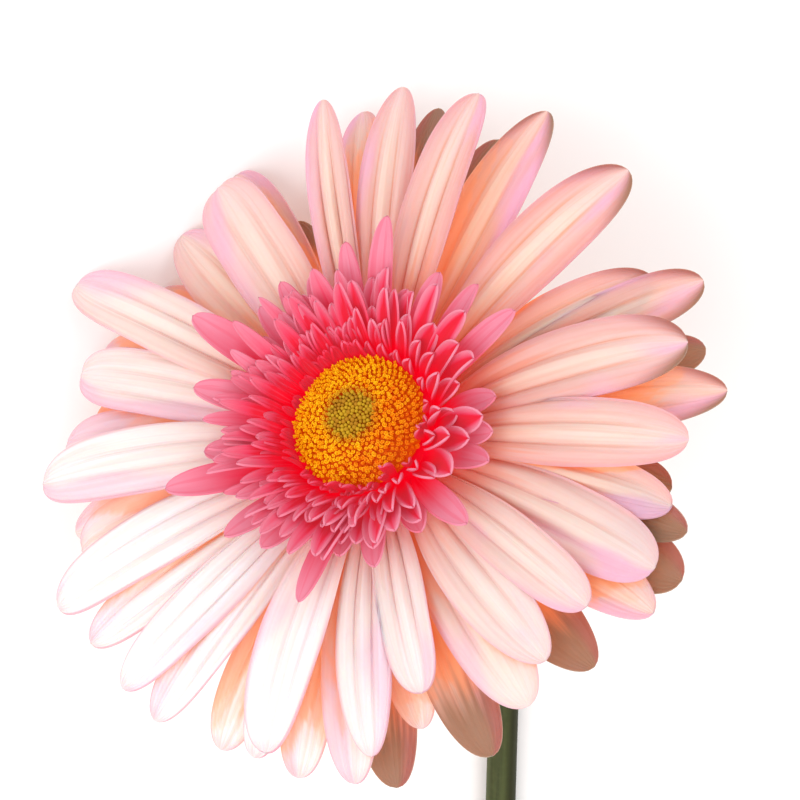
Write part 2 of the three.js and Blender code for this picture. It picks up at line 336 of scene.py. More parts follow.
def outline(along, root, point):
    """The strap's width along it: root is the root's, and a high point makes a blunt tip."""
    if along < WIDEST_AT:
        return root + (1 - root) * math.sin(along / WIDEST_AT * math.pi / 2) ** 1.15
    return max(NARROWEST, (1 - ((along - WIDEST_AT) / (1 - WIDEST_AT)) ** point) ** 0.5)


print("width by tenths:", [round(outline(t / 10, 0.28, 3), 2) for t in range(11)])

# %% The blank that every strap is copied from
CROWDING = 1.4  # above 1, the rows lie closer towards the tip
ASIDE = 10


def blank(name, columns, rows, root, point):
    let_go()
    bpy.ops.mesh.primitive_grid_add(x_subdivisions=columns, y_subdivisions=rows, size=1)
    strap = bpy.context.object
    strap.name = name
    bpy.ops.object.mode_set(mode="EDIT")
    bpy.ops.transform.translate(value=(0, 0.5, 0))
    bpy.ops.transform.resize(value=(2, 1, 1), center_override=(0, 0, 0))
    bpy.ops.object.mode_set(mode="OBJECT")
    mesh = strap.data
    across = [p.co.x for p in mesh.vertices]
    level = [1 - (1 - max(0.0, p.co.y)) ** CROWDING for p in mesh.vertices]
    numbers(mesh, "across", across)
    numbers(mesh, "along", level)
    numbers(mesh, "wide", [outline(t, root, point) for t in level])
    bpy.ops.object.mode_set(mode="EDIT")
    for row in range(rows + 1):
        even = row / rows
        along = 1 - (1 - even) ** CROWDING
        pick_points(mesh, lambda co: abs(co.y - even) < 0.2 / rows)
        bpy.ops.transform.resize(value=(outline(along, root, point), 1, 1),
                                 center_override=(0, even, 0))
        # Rows that are done wait aside, so that the next test can't pick them.
        bpy.ops.transform.translate(value=(0, along - even + ASIDE, 0))
    bpy.ops.mesh.select_all(action="SELECT")
    bpy.ops.transform.translate(value=(0, -ASIDE, 0))
    bpy.ops.object.mode_set(mode="OBJECT")
    return strap


# %% [markdown]
# ## Bending a blade into place
#
# A strap on the flower droops, sways and twists along its own length, and has a trough and
# long creases. Bend modifiers could do these only one at a time and about fixed axes, so
# the points are moved in code along the same centre line that the solid's rays follow.
#
# A strap leaves the head at the slope `rise` and has lost `droop` of it at its tip, and
# `sway` swings it sideways. Its line ends at `reach` from the head's axis.

# %% Centre line
STEPS = 40
LATE_DROOP = 1.3  # above 1, most of the droop comes near the tip


def centre_line(ray):
    """How far along a strap, its line there, and the line's slope and heading."""
    middle = (np.arange(STEPS) + 0.5) / STEPS
    ends = np.arange(STEPS + 1) / STEPS
    slope = np.radians(ray["rise"] - ray["droop"] * middle ** LATE_DROOP)
    heading = np.radians(ray["sway"] * (middle - 0.5))
    steps = np.array([np.cos(slope) * np.cos(heading), np.cos(slope) * np.sin(heading),
                      np.sin(slope)]) / STEPS
    line = np.hstack([np.zeros((3, 1)), np.cumsum(steps, axis=1)])
    line *= (ray["reach"] - ray["root_radius"]) / line[0, -1]
    line += np.array([[ray["root_radius"]], [0], [ray["root_level"]]])
    return ends, line, np.radians(ray["rise"] - ray["droop"] * ends ** LATE_DROOP), \
        np.radians(ray["sway"] * (ends - 0.5))


def tip_height(ray, thickness):
    """How high over the table the underside of a strap's tip comes."""
    _, line, _, _ = centre_line(ray)
    x, y, z = line[:, -1]
    turn = math.radians(ray["azimuth"])
    tip = Vector((x * math.cos(turn) - y * math.sin(turn),
                  x * math.sin(turn) + y * math.cos(turn), z - thickness))
    return (HEAD @ tip).z / MM


level_strap = dict(azimuth=0, reach=60, root_radius=10, root_level=0, rise=0, droop=0, sway=0)
print(f"a level strap at azimuth 0 ends {tip_height(level_strap, 0):.1f} mm over the table")

# %% [markdown]
# ### Across the strap
#
# Seen from its tip, a strap is a shallow trough (`cup`) with three ridges (`groove`) and
# wavy edges (`wave`), and `roll` turns it more and more towards the tip. A floret near the
# disc is a gutter instead, bent round by `fold`, in radians from its middle to its edge.
# The strap is moved as a sheet, and gets its thickness last.

# %% Bending
RIDGES = 3
BENT_MARKS = ("tint", "blush", "inward", "dry")


def bent(strap, ray, sheet):
    """A copy of the flat strap, laid along its line on the head, sheet millimetres thick."""
    copy = bpy.data.objects.new(strap.name, strap.data.copy())
    bpy.context.collection.objects.link(copy)
    mesh = copy.data
    count = len(mesh.vertices)
    flat = np.empty(count * 3)
    mesh.vertices.foreach_get("co", flat)
    across, along, wide = (read_numbers(mesh, name) for name in ("across", "along", "wide"))
    flat = flat.reshape(-1, 3)
    ends, line, slopes, headings = centre_line(ray)
    t = flat[:, 1].clip(0, 1)
    centre = np.array([np.interp(t, ends, row) for row in line]).T
    slope, heading = np.interp(t, ends, slopes), np.interp(t, ends, headings)
    forward = np.array([np.cos(slope) * np.cos(heading), np.cos(slope) * np.sin(heading),
                        np.sin(slope)]).T
    level_side = np.array([-np.sin(heading), np.cos(heading), np.zeros(count)]).T
    roll = np.radians(ray["roll"]) * t[:, None]
    side = level_side * np.cos(roll) + np.cross(forward, level_side) * np.sin(roll)
    upward = np.cross(forward, side)
    half = ray["width"] / 2 * wide
    # The ridges begin at the root, and fade out from where the strap is widest to its tip.
    swell = np.sin(np.pi * np.minimum(1, along / 0.97)).clip(0, 1) ** 0.6
    swell *= 1 - ((along - WIDEST_AT) / (1 - WIDEST_AT)).clip(0, 1)
    fold = ray.get("fold", 0.01)
    sideways = np.sin(fold * across) / fold * half
    # The ridges lie a little off the middle, differently on each ray.
    ridge = np.cos(RIDGES * np.pi * (across + 0.1 * math.sin(3.1 * ray["azimuth"])))
    lift = (1 - np.cos(fold * across)) / fold * half + ray["cup"] * half * across ** 2 \
        + ray["groove"] * (1 + 0.35 * math.sin(1.7 * ray["azimuth"])) * swell * ridge \
        + ray.get("wave", 0) * swell * across ** 3 * np.sin(along * 8 + ray["azimuth"])
    points = centre + side * sideways[:, None] + upward * lift[:, None]
    turn = math.radians(ray["azimuth"])
    turned = points.copy()
    turned[:, 0] = points[:, 0] * math.cos(turn) - points[:, 1] * math.sin(turn)
    turned[:, 1] = points[:, 0] * math.sin(turn) + points[:, 1] * math.cos(turn)
    mesh.vertices.foreach_set("co", turned.ravel())
    mesh.transform(HEAD)
    for name in BENT_MARKS:
        numbers(mesh, name, [ray.get(name, 0)] * count)
    numbers(mesh, "crease", -ridge)
    # The thickness is added behind the sheet, so its face stays where it is.
    apply(copy, "SOLIDIFY", thickness=sheet * MM, offset=-1)
    return copy


# %% [markdown]
# ## The skin of the outer rays
#
# The rays are cream, warming to coral at their hidden roots, with a patchy lilac-pink band
# on one edge and fine veins from root to tip. Round the flower light and shade are painted
# on: on the lit side the rays are painted nearly white, with lilac painted shade in their
# creases and a thin rosy rim, and on the side away from the light they get peach painted
# shade, with peach painted shade in the creases. A mark says which, from 0 on the lit side
# to 1 on the shaded one; on the florets and the disc the same mark moves their colour too.
# Another marks the rays whose tips are painted brown, partly as drying and partly as shade.
#
# The petal is thin and wet inside, so light goes in and comes out warmer, which is
# subsurface scattering. Where one ray covers another the light has crossed two of them and
# turned orange: that is too thin a stack for the renderer to find, so it is painted, as
# orange painted shade and a faint painted glow, emitted, from a mark called `cover` that is
# measured on the finished flower further down.

# %% Ray colours
# From root to tip, each with its place along the ray. The lower rows are warmer and
# darker, partly their own colour and partly painted shade where they lie under the rows above.
RAY_COLOURS = {
    "rays_front": [(0.0, (228, 92, 80)), (0.2, (240, 172, 148)), (0.36, (241, 208, 190)),
                   (0.7, (242, 216, 202)), (1.0, (238, 205, 202))],
    "rays_middle": [(0.0, (228, 92, 66)), (0.2, (240, 158, 128)), (0.42, (240, 198, 170)),
                    (0.7, (241, 209, 190)), (1.0, (238, 200, 194))],
    "rays_back": [(0.0, (224, 86, 56)), (0.2, (240, 130, 80)), (0.5, (240, 156, 108)),
                  (0.78, (236, 164, 124)), (1.0, (228, 170, 148))],
}

# The cover at which the orange painted shade begins, and at which it is full.
SHADED_FROM_TO = {"rays_front": (0.45, 1.0), "rays_middle": (0.26, 0.85),
                  "rays_back": (0.1, 0.6)}
print("rows of rays:", *RAY_COLOURS)


# %% Ray skin
def ray_skin(name):
    skin = Skin(name + "_skin", Roughness=0.55, Subsurface_Weight=0.5, Subsurface_Scale=0.003,
                Subsurface_Radius=(1.0, 0.45, 0.3), Sheen_Weight=0.12, Sheen_Roughness=0.4,
                Specular_IOR_Level=0.3, Emission_Strength=0.24)
    across, along, tint = skin.mark("across"), skin.mark("along"), skin.mark("tint")
    blush, cover = skin.mark("blush"), skin.mark("cover")
    edge = across.math("ABSOLUTE")
    body = skin.node("ShaderNodeValToRGB", {"stops": [
        (at, srgb(*colour)) for at, colour in RAY_COLOURS[name]]}, along)
    # Long soft streaks, stretched along the ray and different on each one. The lit side is
    # then whitened with painted light, and the shaded side darkened with painted shade, most of
    # all at the edges and the root.
    strand = skin.join(across * 7.0, along * 1.6, tint * 31.0)
    streak = skin.noise(strand, 1.0, 4.0)
    body = skin.mix(skin.step(streak, 0.45, 0.75) * 0.4, body, srgb(240, 180, 160))
    pale = skin.step(skin.noise(strand, 0.6, 2.0), 0.35, 0.7) * skin.step(along, 0.25, 0.6)
    painted_lit_side = (1 - blush) ** 2.4
    body = skin.mix((pale * 0.5 + 0.6) * painted_lit_side, body, srgb(248, 242, 242))
    body = skin.mix(blush * (edge * 0.65 + 0.2), body, srgb(222, 162, 182), "MULTIPLY")
    root = 1 - skin.step(along + streak * 0.9, 0.66, 0.9)
    body = skin.mix(root * (blush * 0.35 + 0.1), body, srgb(238, 134, 96))
    # Painted shade in the creases a third of the way in from either edge, lilac on the lit
    # side and peach on the shaded one, and finer veins between them in the same colour.
    crease = skin.step(skin.mark("crease"), 0.55, 1.0) * (1 - skin.step(along, 0.72, 0.95))
    inner = 1 - skin.step(edge, 0.5, 0.7)
    line = skin.mix(blush, srgb(228, 184, 188), srgb(222, 142, 108))
    body = skin.mix(crease * inner * (blush * 0.3 + 0.26), body, line)
    vein = (across * 30.0 + skin.noise(strand, 0.7) * 6.0).math("SINE")
    body = skin.mix(skin.step(vein, 0.55, 1.0) * 0.14, body, line)
    # The lilac band is on one edge of a ray, comes and goes, and some rays hardly have one.
    # The rosy rim is stronger on the lit side, where it parts the painted white rays from white
    # paper.
    patch = skin.noise(skin.join(across * 1.2, along * 2.6, tint * 53.0), 1.0, 1.0)
    band = skin.step(across * tint * 0.45 + along * 0.25 + patch, 0.74, 1.06)
    body = skin.mix(band * (blush * 0.45 + 0.42), body, srgb(232, 168, 198))
    rim = skin.step(edge, 0.88, 1.0) * skin.step(along, 0.3, 0.6)
    tip = skin.step(along, 0.93, 1.0) * (1 - blush)
    body = skin.mix(rim * 0.45 + (rim + tip) * painted_lit_side * 0.4, body, srgb(218, 150, 168))
    # Covered parts get orange painted shade and a little painted glow, emitted. The rim of a
    # tip is painted brown, and the last quarter of a back ray, whose one side is still rosy:
    # partly drying and partly painted shade.
    shade = skin.step(cover, *SHADED_FROM_TO[name]) * (blush * 0.3 + 0.7)
    body = skin.mix(shade * 0.9, body, srgb(238, 150, 102))
    drying_and_shade = skin.step(edge * 0.3 + along, 1.0, 1.25)
    if name == "rays_back":
        drying_and_shade = skin.step(along + streak * 0.2, 0.72, 0.96)
    drying_and_shade = drying_and_shade * skin.mark("dry")
    dry = skin.mix(skin.step(across, 0.2, 0.8), srgb(126, 104, 82), srgb(138, 88, 78))
    body = skin.mix(drying_and_shade * 0.95, body, dry)
    painted_glow = skin.mix(shade * (1 - drying_and_shade), (0, 0, 0, 1), srgb(236, 124, 76))
    height = vein * 0.4 + streak * 1.6 - crease * 1.2
    return skin.finish(Base_Color=body, Emission_Color=painted_glow,
                       Normal=skin.bump(height, 0.00014, 0.5))


# %% [markdown]
# ## Outer rays
#
# Three rows stand round the rim. The places, reaches and widths were read off the photograph
# ray by ray and rounded, because that is what makes it this flower, and the small droops,
# twists and sways are drawn at random from a fixed seed. A ray that would go through the
# table is bent up until it lies on it, as a real one is.

# %% The three rows
# A ray is its azimuth in degrees, its reach and its width. Each row also gives the middle
# and the half width of an arc, in degrees, over which its tips are painted brown, partly as
# drying and partly as painted shade.
ROWS = {
    "rays_front": dict(root_radius=10.5, root_level=-4.1, rise=18.7, droop=36, seed=11,
                       dry=(35, 32), rays=[
        (12, 56, 13), (46, 61.5, 12.5), (74, 61.5, 10), (89, 64, 9.5), (101, 62, 7.5),
        (124, 57, 13.5), (152, 65, 11), (165.5, 58, 11.5), (187, 59, 12.5), (207, 62, 11.5),
        (226.5, 59.5, 10), (233, 60, 9.5), (257, 57, 12), (274, 55.5, 9.5), (285, 47, 8.5),
        (309, 52, 11.5), (321, 51, 9.5), (333, 55.5, 12.5), (355, 55.5, 11.5)]),
    "rays_middle": dict(root_radius=10.3, root_level=-5.2, rise=12, droop=30, seed=23,
                        dry=(35, 32), rays=[
        (5, 60, 12), (24.5, 60.5, 10), (28, 53.5, 11), (66, 64.5, 12), (97.5, 63, 9),
        (121, 60.5, 12), (135, 58, 12.5), (160, 59, 12), (178, 59, 12), (197, 57, 12),
        (215, 60, 9.5), (250, 57, 9), (270, 59, 10.5), (281, 50, 9), (302, 55.5, 12),
        (327, 57.5, 12), (344, 54, 10)]),
    "rays_back": dict(root_radius=10, root_level=-5.6, rise=3, droop=21, seed=37,
                      dry=(10, 107), rays=[
        (14, 57, 9), (31, 52, 9), (73, 58, 9), (86, 64, 9), (115, 46.5, 10), (146, 56, 11),
        (172, 55, 12), (190, 61, 11), (226, 55, 12), (242, 58, 9.5), (258, 58, 9.5),
        (274, 58, 11), (292, 58, 11.5), (314, 54.5, 12), (334, 58, 12), (349, 51, 10),
        (341, 57, 9.5)]),
}
print("rays in each row:", [len(row["rays"]) for row in ROWS.values()])

# %% Placing the rays
RAY_SHEET = 0.4
RAY_THICKNESS = 0.65  # the solid's, which has to clear the table too
RAY_ROOT = 0.28
RAY_GROOVE = 0.55
RAY_WAVE = 0.35
RAY_CUP = 0.1
TABLE_GAP = 0.02
SHADED_SIDE = math.radians(50)
# Every other ray starts this much lower and rises this much less, so neighbours overlap.
UNDER_LEVEL, UNDER_RISE = 0.4, 3
# How far one ray may stray from its row, either way.
STRAY = dict(root_level=0.25, rise=2.5, droop=3, sway=7, roll=9, cup=0.14)
ray_blanks = [blank("ray_pointed", columns=20, rows=40, root=RAY_ROOT, point=2.2),
              blank("ray_plain", columns=20, rows=40, root=RAY_ROOT, point=3),
              blank("ray_round", columns=20, rows=40, root=RAY_ROOT, point=4)]
ray_rows = {}
for name, row in ROWS.items():
    draw = draw_from(row["seed"])
    ray_rows[name] = []
    for i, (azimuth, reach, width) in enumerate(row["rays"]):
        under = i % 2
        level, rise = row["root_level"] - UNDER_LEVEL * under, row["rise"] - UNDER_RISE * under
        ray = dict(azimuth=azimuth, reach=reach, width=width, root_radius=row["root_radius"],
                   root_level=level + STRAY["root_level"] * draw(),
                   rise=rise + STRAY["rise"] * draw(),
                   droop=row["droop"] + STRAY["droop"] * draw(),
                   sway=STRAY["sway"] * draw(), roll=STRAY["roll"] * draw(),
                   cup=RAY_CUP + STRAY["cup"] * draw(), groove=RAY_GROOVE, wave=RAY_WAVE)
        # A draw is from -1 to 1, so this picks any of the three blanks.
        strap = ray_blanks[int((draw() + 1) * 1.4999)]
        while tip_height(ray, RAY_THICKNESS) < TABLE_GAP:
            ray["droop"] -= 0.25
        ray["tint"] = math.sin(azimuth * 7.3)
        # How much painted shade a ray gets: 0 on the lit side, 1 at SHADED_SIDE, away from the
        # key lamp.
        ray["blush"] = 0.5 + 0.5 * math.cos(math.radians(azimuth) - SHADED_SIDE)
        # Tips in the row's arc are painted brown: partly drying, partly painted shade.
        dry_side, dry_half = row["dry"]
        ray["dry"] = float(abs((azimuth - dry_side + 180) % 360 - 180) < dry_half)
        ray_rows[name].append(bent(strap, ray, RAY_SHEET))
for strap in ray_blanks:
    bpy.data.objects.remove(strap)
print("rays placed:", sum(len(row) for row in ray_rows.values()))

# %% [markdown]
# ### How much of each ray is covered
#
# From every point of a ray a few feelers go out towards the face of the flower. The share
# of them that meet another ray within reach is the point's cover: 0 in the open, near 1 deep
# in a gap, and in between beside an edge. The rays' skins paint shade and glow from it. A
# tree of all the faces makes the feelers quick.

# %% Cover
FEELER_REACH = 12 * MM
FEELER_START = 0.5 * MM
FEELER_LEAN = math.radians(38)
head_turn = HEAD.to_3x3().normalized()
feelers = [head_turn @ Vector((0, 0, 1))]
for i in range(6):
    lean = Vector((math.sin(FEELER_LEAN) * math.cos(i * math.pi / 3),
                   math.sin(FEELER_LEAN) * math.sin(i * math.pi / 3), math.cos(FEELER_LEAN)))
    feelers.append(head_turn @ lean)
print("feelers at each point:", len(feelers))


def faces_of(pieces):
    points, faces = [], []
    for piece in pieces:
        start = len(points)
        points += [p.co.copy() for p in piece.data.vertices]
        faces += [[start + i for i in face.vertices] for face in piece.data.polygons]
    return BVHTree.FromPolygons(points, faces)


def measure_cover(pieces, tree):
    for piece in pieces:
        covers = []
        for point in piece.data.vertices:
            met = [tree.ray_cast(point.co + feeler * FEELER_START, feeler, FEELER_REACH)[0]
                   for feeler in feelers]
            covers.append(sum(hit is not None for hit in met) / len(feelers))
        numbers(piece.data, "cover", covers)


# %% Finish the three rows
all_rays = [ray for row in ray_rows.values() for ray in row]
measure_cover(all_rays, faces_of(all_rays))
for name, pieces in ray_rows.items():
    joined(name, pieces, ray_skin(name), "outer_rays")

# %% [markdown]
# ## Inner florets
#
# Between the rays and the disc stand shorter straps in hot pink: dusty pink at the tip,
# crimson at the root, and folded like gutters near the disc. Three marks steer their colour:
# `blush` moves the crimson up, `inward` keeps it in the middle of the gutter and leaves a
# pale rim, and `tint` makes every floret a little different.

# %% Floret skin
def floret_skin():
    skin = Skin("inner_floret_skin", Roughness=0.5, Subsurface_Weight=0.1,
                Subsurface_Scale=0.002, Subsurface_Radius=(1.0, 0.2, 0.2),
                Specular_IOR_Level=0.1, Emission_Strength=0.36)
    across, along, tint = skin.mark("across"), skin.mark("along"), skin.mark("tint")
    inward, blush = skin.mark("inward"), skin.mark("blush")
    edge = across.math("ABSOLUTE")
    strand = skin.join(across * 3.0, along * 1.4, tint * 29.0)
    streak = skin.noise(strand, 1.0, 3.0)
    gutter = (edge * 1.25 - 1.0) * inward * 0.7
    body = skin.node("ShaderNodeValToRGB", {"stops": [
        (0.0, srgb(206, 0, 26)), (0.36, srgb(210, 4, 40)), (0.5, srgb(214, 60, 92)),
        (0.72, srgb(211, 104, 127)), (1.0, srgb(212, 132, 152)),
    ]}, along + tint * 0.08 + gutter + (streak - 0.5) * 0.35 - blush)
    vein = skin.step((across * 7.0 + streak * 6.0).math("SINE"), 0.3, 1.0)
    body = skin.mix(vein * 0.35 * (1 - inward), body, srgb(210, 76, 104))
    # A painted glow, emitted, lifts the florets' shade: crimson at the root, dusty pink at the
    # tip.
    painted_glow = skin.mix(skin.step(along, 0.15, 0.7), srgb(250, 0, 40), srgb(150, 60, 76))
    return skin.finish(Base_Color=body, Emission_Color=painted_glow,
                       Normal=skin.bump(streak, 0.0001, 0.5))


pink = floret_skin()
print("skin:", pink.name)

# %% [markdown]
# ### Long florets
#
# The longest florets show one by one against the pale rays, so they too were read off the
# photograph and rounded: azimuth in degrees, reach and width. They are nearly flat.

# %% Long florets
FLORET_SHEET = 0.35
LONG_FLORETS = [
    (5.5, 24.5, 4.8), (131.5, 27.5, 4.4), (27.5, 32.5, 4.8), (44.5, 30, 4.4), (59.5, 28, 4.6),
    (80.5, 34, 4.6), (95.5, 31, 4.2), (110, 27.5, 4.2), (120.5, 28.5, 4), (147.5, 34.5, 5.8),
    (168, 29, 5.2), (190, 27, 4.6), (203, 33, 5.6), (224.5, 29, 4.6), (237.5, 26.5, 4.8),
    (259.5, 33, 4), (268, 24, 4.8), (282.5, 27, 4.6), (302.5, 24, 5), (317, 31, 5), (339, 26, 5),
    (350.5, 25, 4.8),
]
LONG_STRAY = dict(rise=3, droop=4, sway=14, roll=16)
long_blank = blank("floret_blank", columns=8, rows=18, root=0.42, point=2.2)
draw = draw_from(51)
florets = []
for azimuth, reach, width in LONG_FLORETS:
    floret = dict(azimuth=azimuth, reach=reach, width=width, root_radius=12.2, root_level=-1.6,
                  rise=34 + LONG_STRAY["rise"] * draw(), droop=14 + LONG_STRAY["droop"] * draw(),
                  sway=LONG_STRAY["sway"] * draw(), roll=LONG_STRAY["roll"] * draw(),
                  cup=0.3, groove=0, tint=math.sin(azimuth * 5.1), blush=-0.14)
    florets.append(bent(long_blank, floret, FLORET_SHEET))
bpy.data.objects.remove(long_blank)
print("long florets:", len(florets))

# %% [markdown]
# ### Rings of short florets
#
# Inside them four rings climb towards the disc, each shorter, steeper and more folded than
# the last, and the innermost curls over the disc's edge. On the left they are narrow and
# close, three to each gap between long florets. Towards the right they are fewer, broader
# and rounder, like spoons, and pale only at the rim.

# %% Rings of short florets
FLORET_RINGS = [
    dict(root_radius=12.4, root_level=-0.8, rise=44, droop=12, reach=24.5, width=3.9,
         fold=0.8, blush=0),
    dict(root_radius=12.6, root_level=0, rise=54, droop=10, reach=20.5, width=3.6,
         fold=1.2, blush=0.08),
    dict(root_radius=12.8, root_level=0.6, rise=63, droop=8, reach=17, width=3.2,
         fold=1.7, blush=0.16),
    dict(root_radius=12.2, root_level=0.6, rise=82, droop=12, reach=13.2, width=2.6,
         fold=1.6, blush=0.4),
]
BROAD_SIDE = math.radians(-10)
# Where the florets stand in a gap, as shares of it, and how far each may stray.
SPOONS_AT, SPOONS_STRAY = (0.25,), 0.25
NARROW_AT, NARROW_STRAY = (0.05, 0.4, 0.75), 0.14
SHORT_STRAY = dict(reach=0.2, width=0.2, root_level=0.3, slope=6, sway=32, roll=36)
short_blank = blank("short_blank", columns=8, rows=14, root=0.5, point=1.9)
spoon_blank = blank("spoon_blank", columns=8, rows=14, root=0.42, point=3.2)
directions = sorted(azimuth for azimuth, _, _ in LONG_FLORETS)
for ring in FLORET_RINGS:
    length = ring["reach"] - ring["root_radius"]
    for i, azimuth in enumerate(directions):
        gap = (directions[(i + 1) % len(directions)] - azimuth) % 360
        broad = math.cos(math.radians(azimuth) - BROAD_SIDE)
        spoons = broad > 0.5
        strap = spoon_blank if spoons else short_blank
        stray = SPOONS_STRAY if spoons else NARROW_STRAY
        for share in SPOONS_AT if spoons else NARROW_AT:
            width = ring["width"] * (1 + 0.3 * broad)
            floret = dict(azimuth=azimuth + gap * (share + stray * draw()),
                          reach=ring["reach"] + SHORT_STRAY["reach"] * length * draw(),
                          width=width * (1 + SHORT_STRAY["width"] * draw()),
                          root_radius=ring["root_radius"],
                          root_level=ring["root_level"] + SHORT_STRAY["root_level"] * draw(),
                          rise=ring["rise"] + SHORT_STRAY["slope"] * draw(),
                          droop=ring["droop"] + SHORT_STRAY["slope"] * draw(),
                          sway=SHORT_STRAY["sway"] * draw(), roll=SHORT_STRAY["roll"] * draw(),
                          cup=0, groove=0, fold=ring["fold"] * (0.75 + 0.25 * broad),
                          inward=0.5 + 0.5 * broad,
                          blush=ring["blush"] * (1.05 - 0.5 * broad), tint=draw())
            florets.append(bent(strap, floret, FLORET_SHEET))
joined("inner_florets", florets, pink, "inner_rays")
bpy.data.objects.remove(short_blank)
bpy.data.objects.remove(spoon_blank)

# %% [markdown]
# ## Turned bodies
#
# The receptacle, the disc and the cup are round about the head's axis. Each is turned as on
# a lathe: a filled circle is extruded from station to station along the axis and resized at
# each, which leaves clean rings of faces.

# %% Turning
TURNED_MARKS = ("across", "along", "tint", "inward", "blush", "young")


def turned(name, sides, stations):
    """stations are pairs of radius and level, from the bottom up."""
    let_go()
    radius, level = stations[0]
    bpy.ops.mesh.primitive_circle_add(vertices=sides, radius=radius, fill_type="NGON",
                                      location=(0, 0, 0))
    body = bpy.context.object
    body.name = name
    bpy.ops.object.mode_set(mode="EDIT")
    bpy.ops.transform.translate(value=(0, 0, level))
    for next_radius, next_level in stations[1:]:
        bpy.ops.mesh.extrude_region_move(
            TRANSFORM_OT_translate={"value": (0, 0, next_level - level)})
        share = next_radius / radius
        bpy.ops.transform.resize(value=(share, share, 1), center_override=(0, 0, next_level))
        radius, level = next_radius, next_level
    bpy.ops.mesh.select_all(action="SELECT")
    bpy.ops.mesh.normals_make_consistent(inside=False)
    bpy.ops.object.mode_set(mode="OBJECT")
    body.data.transform(HEAD)
    for mark in TURNED_MARKS:
        numbers(body.data, mark, [0.0] * len(body.data.vertices))
    return body


# %% [markdown]
# ### The receptacle
#
# The florets grow out of a fleshy plate, which shows as a crimson floor between them.

# %% Receptacle
receptacle = turned("receptacle", 48, [
    (11.6, -6.6), (12.6, -6.2), (12.8, -4), (12.9, -1), (13.1, 0.3), (12.8, 0.9), (9, 1.0)])
joined("receptacle", [receptacle], pink, "inner_rays")

# %% [markdown]
# ## Disc
#
# The disc is a low dome. Its ring is packed with open florets: little trumpets with five
# lobes round a yellow point. They are golden on the left and turn red-orange towards the
# right, partly their own colour and partly painted shade on the side away from the light, and
# those next to the buds have only just opened and are still olive (`young`). A faint orange
# painted glow, emitted, lifts their shade.

# %% Dome
DISC_RADIUS = 11.5
DISC_BOTTOM = 1.2
DISC_EDGE = 2.2
DISC_CROWN = 6.6


def dome(r):
    return DISC_EDGE + (DISC_CROWN - DISC_EDGE) * (1 - min(1, r / DISC_RADIUS) ** 2.4)


print("dome's height from the middle out:", [round(dome(r), 1) for r in (0, 4, 8, 11.5)])


# %% Disc floret skin
def disc_skin():
    # The orange emission is a faint painted glow that lifts the disc's shade.
    skin = Skin("disc_floret_skin", Roughness=0.6, Subsurface_Weight=0.15,
                Subsurface_Scale=0.001, Subsurface_Radius=(1.0, 0.5, 0.1),
                Specular_IOR_Level=0.08, Emission_Color=srgb(240, 90, 0), Emission_Strength=0.1)
    along, tint = skin.mark("along"), skin.mark("tint")
    body = skin.node("ShaderNodeValToRGB", {"stops": [
        (0.0, srgb(220, 98, 4)), (0.35, srgb(230, 142, 4)), (0.65, srgb(236, 172, 6)),
        (1.0, srgb(240, 188, 18)),
    ]}, along + tint * 0.35)
    body = skin.mix(skin.mark("young") * 0.75, body, srgb(180, 132, 28))
    body = skin.mix(skin.mark("blush") * 0.6, body, srgb(226, 66, 14))
    return skin.finish(Base_Color=body)


# %% [markdown]
# ### One trumpet
#
# It is modelled once, from a short ten-sided cylinder. Its mouth is flared, inset and pushed
# in, and a point is raised in the middle. There are 640 of them, so it has few faces.

# %% Trumpet
def trumpet():
    """One open disc floret, 1.3 wide at its mouth, its foot sunk below the origin."""
    let_go()
    bpy.ops.mesh.primitive_cylinder_add(vertices=10, radius=0.34, depth=1.2,
                                        end_fill_type="NGON", location=(0, 0, 0))
    floret = bpy.context.object
    mesh = floret.data
    bpy.ops.object.mode_set(mode="EDIT")
    pick_points(mesh, lambda co: co.z > 0.5)
    bpy.ops.mesh.extrude_region_move(TRANSFORM_OT_translate={"value": (0, 0, 0.35)})
    bpy.ops.transform.resize(value=(1.9, 1.9, 1), center_override=(0, 0, 0.95))
    bpy.ops.mesh.inset(thickness=0.2)
    bpy.ops.mesh.extrude_region_move(TRANSFORM_OT_translate={"value": (0, 0, -0.25)})
    bpy.ops.transform.resize(value=(0.6, 0.6, 1), center_override=(0, 0, 0.7))
    bpy.ops.mesh.extrude_region_move(TRANSFORM_OT_translate={"value": (0, 0, 0.75)})
    bpy.ops.transform.resize(value=(0.5, 0.5, 1), center_override=(0, 0, 1.45))
    bpy.ops.object.mode_set(mode="OBJECT")
    for point in mesh.vertices:
        # Every other point of the rim is drawn in, which leaves five lobes.
        turn = math.atan2(point.co.y, point.co.x) / (2 * math.pi) * 10
        wide = math.hypot(point.co.x, point.co.y)
        if wide > 0.4 and round(turn) % 2:
            point.co.x *= 0.62
            point.co.y *= 0.62
    numbers(mesh, "along", [min(1, max(0, (p.co.z + 0.2) / 1.5)) for p in mesh.vertices])
    return floret


# %% [markdown]
# ### Packing them
#
# Copies are laid along a golden-angle spiral, which is how daisies really pack their
# florets, so that no two line up. Each leans out more the nearer it is to the edge.

# %% Packing
GOLDEN_ANGLE = math.radians(137.508)
RED_AND_SHADED_SIDE = math.radians(-20)
YOUNG_WITHIN = 5.4
SIZE_STRAY = 0.22
LEAN_STRAY = 20


